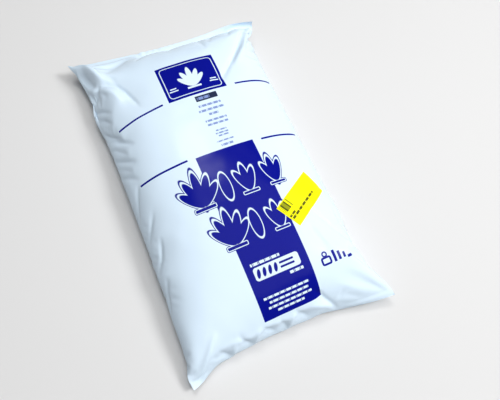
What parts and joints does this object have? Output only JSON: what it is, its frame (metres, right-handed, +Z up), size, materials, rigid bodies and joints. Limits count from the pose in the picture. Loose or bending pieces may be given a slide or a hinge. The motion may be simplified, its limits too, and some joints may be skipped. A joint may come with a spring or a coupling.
{
  "type": "rice sack",
  "caption": "Filled plastic film sack for rice, lying flat: a pillow shape with welded ends, pointed corner ears, a blue print panel and a yellow sticker.",
  "frame": {"origin": "middle of the sack's footprint, on the surface that it lies on", "axes": "+Y towards the sack's top end, along its length; +X to the right of the upright print; +Z up out of the printed side"},
  "size_m": [0.465, 0.7784, 0.1153],
  "materials": {
    "film": "white polyethylene film with a soft sheen and a blue print",
    "sticker": "plain yellow adhesive label"
  },
  "bodies": {
    "root": {"sack": "film", "sticker": "sticker"}
  },
  "joints": []
}
